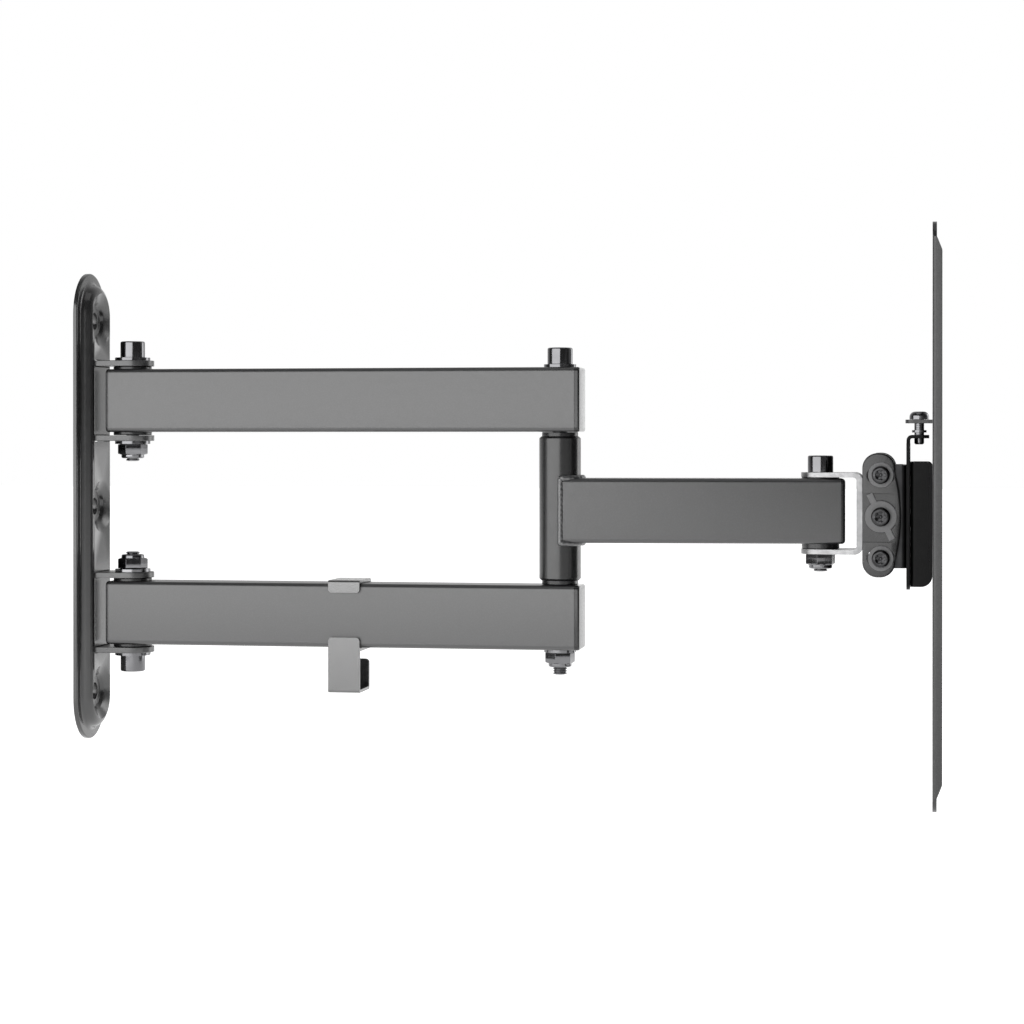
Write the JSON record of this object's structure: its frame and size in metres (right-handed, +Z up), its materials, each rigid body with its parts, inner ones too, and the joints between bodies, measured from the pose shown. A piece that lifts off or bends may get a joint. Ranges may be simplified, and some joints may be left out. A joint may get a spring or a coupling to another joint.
{
  "type": "full motion television wall mount",
  "caption": "Arm mount that holds a flat screen off a wall: twin rear arms, folding front arm, swivel head, tilt yoke and a lift-off screen plate.",
  "frame": {"origin": "centre of the wall plate on its back plane, which lies against the wall", "axes": "+X leaves the wall towards the screen, +Z is up, +Y completes a right-handed frame"},
  "size_m": [0.3644, 0.22, 0.22],
  "materials": {
    "powder_coat": "fine-grained satin powder coat, dark grey",
    "satin_black_tube": "satin black paint",
    "black_hardware": "glossy black oxide and zinc hardware",
    "coated_washer": "grained grey coating",
    "black_plastic": "moulded black plastic",
    "grey_plastic": "moulded grey plastic",
    "black_channel": "smooth black coat",
    "bracket_steel": "satin zinc plating on folded sheet"
  },
  "bodies": {
    "wall": {"wall_plate": "powder_coat", "upper_wall_bracket": "powder_coat", "lower_wall_bracket": "powder_coat", "upper_wall_pivot_screw": "black_hardware", "lower_wall_pivot_screw": "black_hardware", "wall_pivot_lock_nuts": "black_hardware", "wall_pivot_washers": "black_hardware"},
    "rear_arm": {"upper_arm_tube": "powder_coat", "lower_arm_tube": "powder_coat", "upper_arm_wall_plug": "black_plastic", "lower_arm_wall_plug": "black_plastic", "upper_arm_end_cap": "black_plastic", "lower_arm_end_cap": "black_plastic", "wall_pivot_bushes": "black_plastic", "elbow_screw": "black_hardware", "elbow_lock_nut": "black_hardware", "elbow_washers": "black_hardware", "elbow_spacers": "bracket_steel"},
    "cable_clip": {"cable_clip": "grey_plastic"},
    "front_arm": {"elbow_sleeve": "satin_black_tube", "front_arm_tube": "powder_coat", "front_arm_end_plug": "black_plastic", "elbow_bushes": "black_plastic", "head_pivot_bushes": "black_plastic"},
    "swivel_head": {"swivel_bracket": "bracket_steel", "tilt_yoke": "powder_coat", "yoke_rivets": "black_hardware", "head_pivot_screw": "black_hardware", "head_pivot_lock_nut": "black_hardware", "tilt_pivot_screws": "black_hardware", "tilt_wing_washers": "coated_washer", "tilt_pivot_nuts": "black_hardware", "tilt_friction_washers": "black_plastic"},
    "tilt_head": {"tilt_bracket": "bracket_steel", "hook_plate": "black_channel", "hook_studs": "black_hardware", "tilt_clamp_screws": "black_hardware", "tilt_clamp_washers": "coated_washer", "tilt_clamp_nuts": "black_hardware"},
    "screen_mount": {"screen_plate": "powder_coat", "slide_channel": "black_channel"},
    "lock_screw": {"plate_lock_screw": "black_hardware", "lock_screw_retaining_ring": "black_hardware"}
  },
  "joints": [
    {"name": "wall_swivel", "type": "hinge", "parent": "wall", "child": "rear_arm", "pos_m": [0.0203, 0, 0], "axis": [0, 0, 1], "range_deg": [-90, 90]},
    {"name": "clip_slide", "type": "slide", "parent": "rear_arm", "child": "cable_clip", "axis": [1, 0, 0], "range_m": [-0.06, 0.06]},
    {"name": "elbow_fold", "type": "hinge", "parent": "rear_arm", "child": "front_arm", "pos_m": [0.2068, 0, 0], "axis": [0, 0, -1], "range_deg": [-120, 130]},
    {"name": "head_swivel", "type": "hinge", "parent": "front_arm", "child": "swivel_head", "pos_m": [0.31489, 0.00946, 0], "axis": [0, 0, 1], "range_deg": [-90, 90]},
    {"name": "head_tilt", "type": "hinge", "parent": "swivel_head", "child": "tilt_head", "pos_m": [0.34009, 0.00946, -0.0026], "axis": [0, 1, 0], "range_deg": [-10, 10]},
    {"name": "plate_lift", "type": "slide", "parent": "tilt_head", "child": "screen_mount", "axis": [0, 0, 1], "range_m": [0, 0.009]},
    {"name": "lock_screw_turn", "type": "hinge", "parent": "screen_mount", "child": "lock_screw", "pos_m": [0.35539, 0.00946, 0], "axis": [0, 0, 1], "continuous": true}
  ]
}
